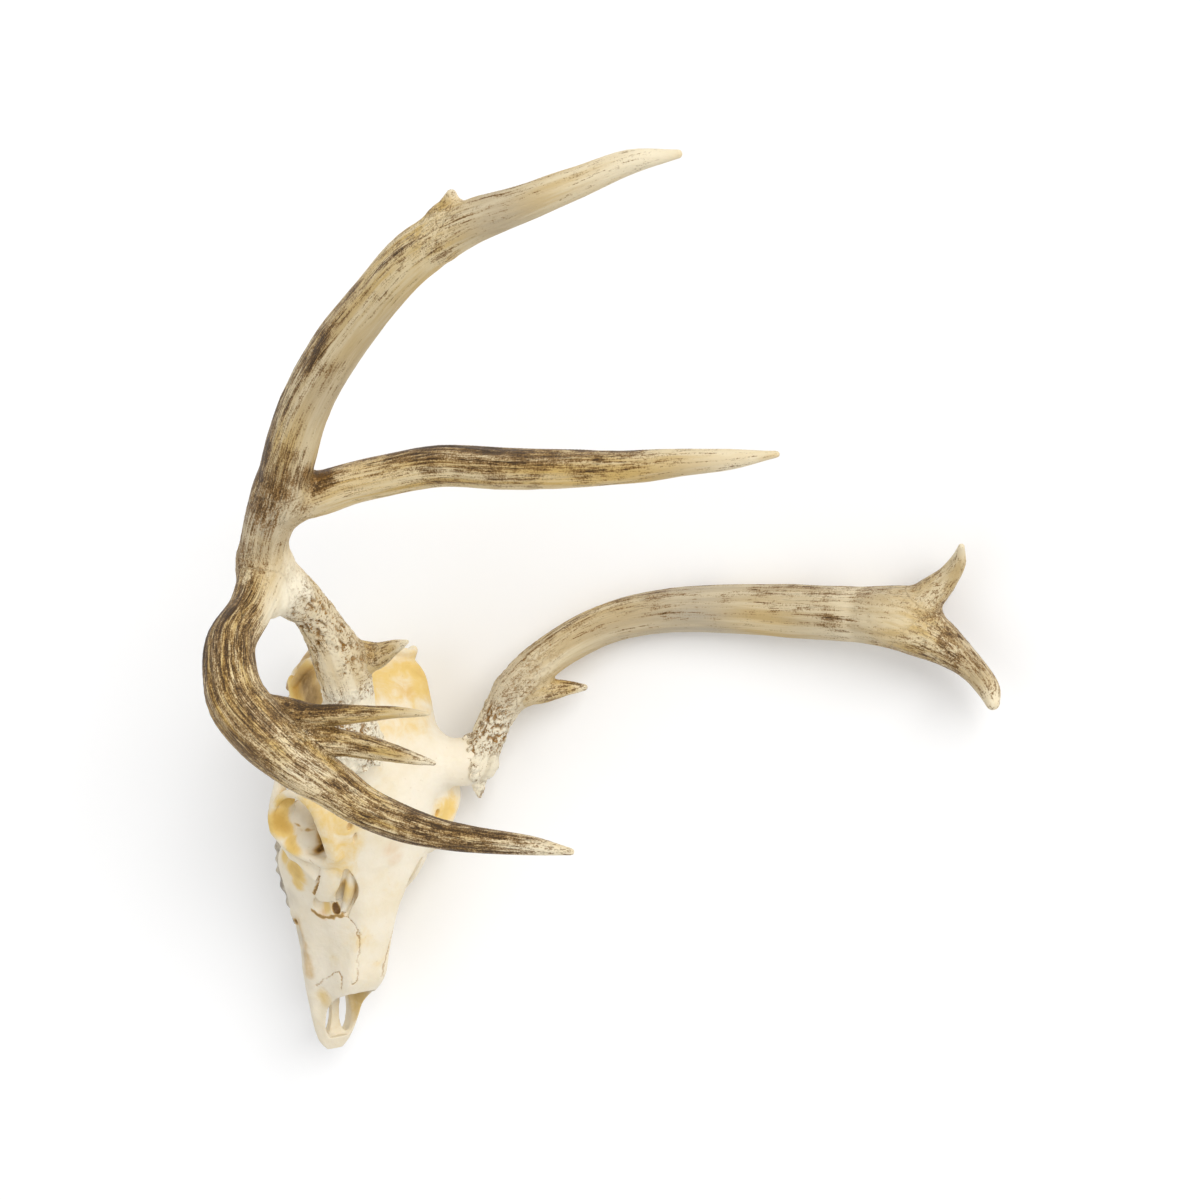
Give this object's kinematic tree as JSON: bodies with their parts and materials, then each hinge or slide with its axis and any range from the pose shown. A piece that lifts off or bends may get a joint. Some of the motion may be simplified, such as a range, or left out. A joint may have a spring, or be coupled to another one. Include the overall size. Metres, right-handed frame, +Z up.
{
  "type": "deer skull with antlers",
  "caption": "Skull of a mule deer buck without its lower jaw, with both forked antlers on their burrs, lying on its left side as it rests.",
  "frame": {"origin": "under the middle of the bounding box, on the surface the skull lies on", "axes": "+Z up as it rests on its left side, +X along the snout, +Y towards the top of the head and the antlers"},
  "size_m": [0.5408, 0.4628, 0.3175],
  "materials": {
    "bone": "dry matt bone, ivory to greyish cream",
    "yellow_bone": "dry matt bone, warm yellow",
    "antler": "brown grooved antler, paler and smoother at the tips"
  },
  "bodies": {
    "root": {"antler_left_brow_tine": "antler", "antler_left_burr": "antler", "antler_left_front_tine": "antler", "antler_left_main_beam": "antler", "antler_left_rear_tine": "antler", "antler_right_brow_tine": "antler", "antler_right_burr": "antler", "antler_right_front_beam": "antler", "antler_right_inner_front_tine": "antler", "antler_right_lower_rear_tine": "antler", "antler_right_main_beam": "antler", "antler_right_outer_front_tine": "antler", "antler_right_upper_rear_tine": "antler", "cranial_base": "bone", "frontal_left": "bone", "frontal_right": "bone", "lacrimal_left": "bone", "lacrimal_right": "bone", "maxilla_left": "bone", "maxilla_right": "bone", "nasal_left": "bone", "nasal_right": "bone", "occipital": "bone", "parietal": "yellow_bone", "premaxilla_left": "bone", "premaxilla_right": "bone", "zygomatic_left": "bone", "zygomatic_right": "bone"}
  },
  "joints": []
}
